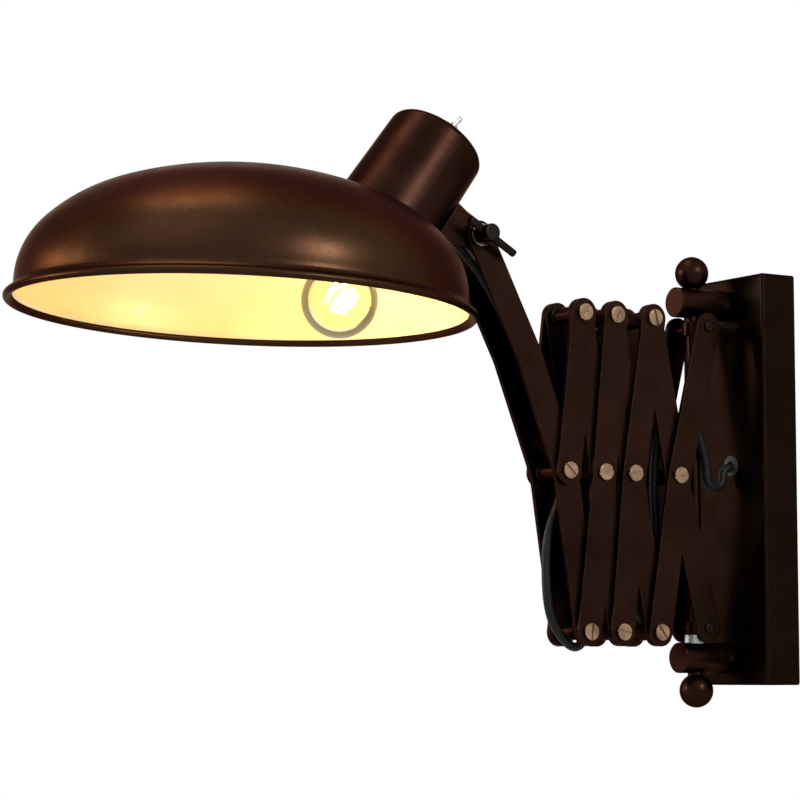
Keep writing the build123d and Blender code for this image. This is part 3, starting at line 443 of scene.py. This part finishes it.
def clear_glass(name):
    """Thin clear glass: see-through, with a sheen that grows towards the outline and faint dust."""
    s = Shader(name)
    clear = s.add("ShaderNodeBsdfTransparent")
    s.give(clear.inputs["Color"], s.mix(s.noise(90.0, 3.0, 0.5), (0.97, 0.95, 0.90), (1.0, 0.99, 0.96)))
    sheen = s.add("ShaderNodeBsdfGlossy")
    sheen.inputs["Color"].default_value = (0.95, 0.93, 0.88, 1.0)
    s.give(sheen.inputs["Roughness"], s.grey(s.noise(260.0, 3.0, 0.5), 0.02, 0.08))
    rim = s.add("ShaderNodeFresnel")
    rim.inputs["IOR"].default_value = 1.22
    haze = s.add("ShaderNodeEmission")
    haze.inputs["Color"].default_value = (1.0, 0.78, 0.36, 1.0)
    haze.inputs["Strength"].default_value = 1.0
    mixer = s.add("ShaderNodeMixShader")
    s.link(rim.outputs["Fac"], mixer.inputs["Fac"])
    s.link(clear.outputs["BSDF"], mixer.inputs[1])
    s.link(sheen.outputs["BSDF"], mixer.inputs[2])
    lit = s.add("ShaderNodeMixShader")
    lit.inputs["Fac"].default_value = 0.05
    s.link(mixer.outputs["Shader"], lit.inputs[1])
    s.link(haze.outputs["Emission"], lit.inputs[2])
    s.link(lit.outputs["Shader"], s.output.inputs["Surface"])
    return s.material


def hot_wire(name):
    s = Shader(name)
    heat = s.add("ShaderNodeEmission")
    glow = s.ramp(s.noise(500.0, 2.0, 0.5), [(0.3, (1.0, 0.80, 0.45)), (0.7, (1.0, 0.90, 0.65))])
    s.link(glow, heat.inputs["Color"])
    heat.inputs["Strength"].default_value = 40.0
    s.link(heat.outputs["Emission"], s.output.inputs["Surface"])
    return s.material


def mesh_of(name, curve):
    """The mesh of a curve with its bevel."""
    holder = bpy.data.objects.new(name + "_line", curve)
    bpy.context.scene.collection.objects.link(holder)
    bpy.context.view_layer.update()
    mesh = bpy.data.meshes.new_from_object(holder.evaluated_get(bpy.context.evaluated_depsgraph_get()))
    bpy.data.objects.remove(holder)
    return mesh


def wire(name, points, radius, material):
    """A round wire through points given in the holder's own millimetres."""
    curve = bpy.data.curves.new(name, "CURVE")
    curve.dimensions = "3D"
    spline = curve.splines.new("POLY")
    spline.points.add(len(points) - 1)
    for place, point in zip(spline.points, points):
        place.co = (*(Vector(point) * MM), 1.0)
    curve.bevel_depth = radius * MM
    curve.bevel_resolution = 3
    curve.use_fill_caps = True
    mesh = mesh_of(name, curve)
    thing = bpy.data.objects.new(name, mesh)
    bpy.context.scene.collection.objects.link(thing)
    thing.matrix_world = holder_place
    mesh.materials.clear()
    mesh.materials.append(material)
    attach(thing, "head")
    return thing


bulb.data.materials.append(clear_glass("clear_glass"))
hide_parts("bulb_glass")
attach(bulb, "head")

COIL_R, COIL_Z, COIL_PEAKS, COIL_SWAY, COIL_WIRE = 8.0, BULB_Z + 4.0, 7, 3.5, 0.35
LEAD_BEND_Z, LEAD_END_Z, LEAD_WIRE = -34.0, -20.0, 0.3
coil = []
for i in range(COIL_PEAKS * 2 + 1):
    a = math.radians(-150.0 + 300.0 * i / (COIL_PEAKS * 2))
    coil.append((COIL_R * math.cos(a), COIL_R * math.sin(a), COIL_Z + (COIL_SWAY if i % 2 else -COIL_SWAY)))
wire("bulb_filament", coil, COIL_WIRE, hot_wire("hot_wire"))
for i, end in enumerate((coil[0], coil[-1])):
    bend = (end[0] * 0.5, end[1] * 0.5, LEAD_BEND_Z)
    foot = (end[0] * 0.3, end[1] * 0.3, LEAD_END_Z)
    wire(f"bulb_lead_{i + 1}", [end, bend, foot], LEAD_WIRE, nickel)

lamp_data = bpy.data.lights.new("bulb_light", "POINT")
lamp_data.energy = 0.5
lamp_data.color = (1.0, 0.80, 0.42)
lamp_data.shadow_soft_size = 9.0 * MM
bulb_light = bpy.data.objects.new("bulb_light", lamp_data)
bpy.context.scene.collection.objects.link(bulb_light)
bulb_light.location = holder_place @ Vector((0.0, 0.0, BULB_Z * MM))

# ---------------------------------------------------------------- finishes of the carried-over nodes
finishes = {
    bronze_box_shaded: ("box_shell", "wall_plate"),
    bronze: (
        "posts", "swivel_rod", "ball_finials", "lower_trunnion", "upper_slider", "lamp_arm", "end_links",
        "knuckle_lug", "neck_cup", "holder_bracket",
    ),
    black_steel: (
        "tommy_bar", "clamp_bolt", "set_screws", "lower_pivot_screws", "upper_pivot_screws",
        "friction_washers",
    ),
    nickel: ("clamp_washer", "switch_body", "switch_nut", "switch_bat", "bulb_cap"),
    zinc: ("box_screws", "thrust_washer", "post_studs", "holder_nipple", "clamp_nut"),
    black_plastic: ("terminal_block",),
    porcelain: ("lampholder",),
    rubber: ("cable_grommet",),
}
placed = {}
for material, names in finishes.items():
    for node_name in names:
        placed[node_name] = material
for node_name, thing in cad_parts.items():
    if "links" in node_name or node_name.startswith("spacers"):
        placed.setdefault(node_name, bronze)
    if node_name.startswith("pivot_screws"):
        placed.setdefault(node_name, brass)
    if node_name in placed:
        if not thing.data.materials:
            thing.data.materials.append(placed[node_name])
        for i in range(len(thing.material_slots)):
            thing.material_slots[i].material = placed[node_name]

# ---------------------------------------------------------------- cable
CABLE_R = 2.8
route = [
    (8.0, -7.75, -12.0), (8.0, -7.75, 9.0), (8.0, -33.2, 9.0), (8.0, -33.2, -4.5), (8.0, -46.0, -5.0),
    (8.0, -47.0, 15.0), (8.0, -57.5, 38.0), (3.0, -79.0, 34.5), (0.0, -82.6, 1.0), (0.0, -80.4, -30.0),
    (0.0, -81.5, -58.0), (0.0, -82.1, -87.5), (0.0, -98.1, -87.5), (0.0, -96.6, -58.0), (0.0, -99.4, -30.0),
    (0.0, -100.2, 2.0), (0.0, -104.5, 36.0), (0.0, -109.8, 62.0), (0.0, -114.1, 89.4), (0.0, -130.1, 89.4),
    (0.0, -127.6, 58.0), (0.0, -124.6, 30.0), (0.0, -122.9, 0.0), (0.0, -127.5, -36.0), (0.0, -132.3, -66.0),
    (0.0, -134.2, -86.0), (0.0, -136.2, -101.5), (0.0, -144.5, -106.6), (0.0, -154.8, -98.4),
    (0.0, -162.6, -86.5), (0.0, -165.2, -66.0), (0.0, -164.4, -38.0), (0.0, -152.5, -12.0),
    (0.0, -148.6, 3.0), (0.0, -166.12, 25.92), (0.0, -183.19, 72.46), (0.0, -204.66, 109.77),
    (0.0, -226.85, 134.53), (0.0, -251.19, 152.72),
]
cable_runs = {
    "cable_entry": (1, 4, "root", "swing", (8.0, -29.0, 5.0), (8.0, -46.0, 5.0)),
    "cable_loop": (5, 6, "swing", "inner_1", (8.0, -47.0, 8.0), (5.5, -68.0, 36.0)),
    "cable_stage_1": (7, 10, "inner_1", "outer_1", (0.0, -82.0, 26.0), (0.0, -81.0, -26.0)),
    "cable_stage_2": (11, 17, "outer_1", "inner_2", (0.0, -87.5, -85.0), (0.0, -92.5, -85.0)),
    "cable_stage_3": (18, 25, "inner_2", "outer_3", (0.0, -114.5, 86.0), (0.0, -119.5, 86.0)),
    "cable_arm": (26, 33, "outer_3", "arm", (0.0, -138.5, -98.0), (0.0, -145.0, -98.0)),
    "cable_head": (34, 37, "arm", "head", (0.0, -212.0, 119.0), (0.0, -236.0, 141.0)),
}


def cable_piece(name, first, last):
    """A tube on the smooth line of the route's corners first to last."""
    points = [Vector(p) for p in route]
    start = points[0] if first == 1 else (points[first - 1] + points[first]) / 2
    end = points[-1] if last == len(points) - 2 else (points[last] + points[last + 1]) / 2
    controls = [start] + points[first : last + 1] + [end]
    curve = bpy.data.curves.new(name, "CURVE")
    curve.dimensions = "3D"
    spline = curve.splines.new("NURBS")
    spline.points.add(len(controls) - 1)
    for place, control in zip(spline.points, controls):
        place.co = (*(control * MM), 1.0)
    spline.order_u = 3
    spline.use_endpoint_u = True
    spline.resolution_u = 16
    curve.bevel_depth = CABLE_R * MM
    curve.bevel_resolution = 6
    curve.use_fill_caps = True
    mesh = mesh_of(name, curve)
    mesh.name = name
    thing = bpy.data.objects.new(name, mesh)
    bpy.context.scene.collection.objects.link(thing)
    for face in mesh.polygons:
        face.use_smooth = True
    mesh.materials.clear()
    mesh.materials.append(cable_sheath)
    return thing


for node_name, (first, last, body_a, body_b, from_point, to_point) in cable_runs.items():
    piece = cable_piece("lead_" + node_name[6:], first, last)
    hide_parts(node_name)
    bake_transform(piece)

# ---------------------------------------------------------------- stage
floor_mesh = bpy.data.meshes.new("floor")
bm = bmesh.new()
bmesh.ops.create_grid(bm, x_segments=1, y_segments=1, size=6.0)
bm.to_mesh(floor_mesh)
bm.free()
floor = bpy.data.objects.new("floor", floor_mesh)
bpy.context.scene.collection.objects.link(floor)
floor.location = (0.0, 0.0, -0.62)


def stage_white(name):
    """Pale ground that shows white to the camera and in reflections, and keeps a soft shadow."""
    s = Shader(name)
    path = s.add("ShaderNodeLightPath")
    diffuse = s.add("ShaderNodeBsdfDiffuse")
    diffuse.inputs["Color"].default_value = (0.86, 0.86, 0.86, 1.0)
    light = s.add("ShaderNodeEmission")
    light.inputs["Strength"].default_value = 1.0
    seen = s.math("MAXIMUM", path.outputs["Is Camera Ray"], path.outputs["Is Glossy Ray"])
    mixer = s.add("ShaderNodeMixShader")
    s.link(s.math("MULTIPLY", seen, 0.85), mixer.inputs["Fac"])
    s.link(diffuse.outputs["BSDF"], mixer.inputs[1])
    s.link(light.outputs["Emission"], mixer.inputs[2])
    s.link(mixer.outputs["Shader"], s.output.inputs["Surface"])
    return s.material


floor.data.materials.append(stage_white("stage_white"))

# ---------------------------------------------------------------- world and lamps
world = bpy.data.worlds.new("world")
bpy.context.scene.world = world
world.use_nodes = True
tree = world.node_tree
tree.nodes.clear()
world_out = tree.nodes.new("ShaderNodeOutputWorld")
path = tree.nodes.new("ShaderNodeLightPath")
studio = tree.nodes.new("ShaderNodeBackground")
studio.inputs["Color"].default_value = (1.0, 0.98, 0.96, 1.0)
studio.inputs["Strength"].default_value = 0.22
white = tree.nodes.new("ShaderNodeBackground")
white.inputs["Color"].default_value = (1.0, 1.0, 1.0, 1.0)
white.inputs["Strength"].default_value = 1.0
chooser = tree.nodes.new("ShaderNodeMixShader")
shown = None
for ray in ("Is Camera Ray", "Is Glossy Ray", "Is Transmission Ray"):
    if shown is None:
        shown = path.outputs[ray]
        continue
    either = tree.nodes.new("ShaderNodeMath")
    either.operation = "MAXIMUM"
    tree.links.new(shown, either.inputs[0])
    tree.links.new(path.outputs[ray], either.inputs[1])
    shown = either.outputs["Value"]
tree.links.new(shown, chooser.inputs["Fac"])
tree.links.new(studio.outputs["Background"], chooser.inputs[1])
tree.links.new(white.outputs["Background"], chooser.inputs[2])
tree.links.new(chooser.outputs["Shader"], world_out.inputs["Surface"])


def area(name, at, aim, size, power, colour=(1.0, 1.0, 1.0), size_y=None):
    data = bpy.data.lights.new(name, "AREA")
    data.energy = power
    data.color = colour
    data.size = size
    if size_y:
        data.shape = "RECTANGLE"
        data.size_y = size_y
    lamp = bpy.data.objects.new(name, data)
    bpy.context.scene.collection.objects.link(lamp)
    lamp.location = at
    lamp.rotation_euler = (Vector(aim) - Vector(at)).to_track_quat("-Z", "Y").to_euler()
    return lamp


area("key", (0.5, -2.0, 1.7), (0.0, -0.3, 0.08), 1.5, 8.0)
area("side", (2.4, 0.15, 1.1), (0.0, -0.3, 0.05), 0.55, 40.0)
area("left", (-1.25, -2.0, 0.45), (0.0, -0.4, 0.1), 0.9, 26.0, size_y=0.5)
area("top", (-0.3, -0.7, 2.0), (0.0, -0.3, 0.0), 0.9, 18.0)

bpy.context.scene.view_settings.view_transform = "Standard"
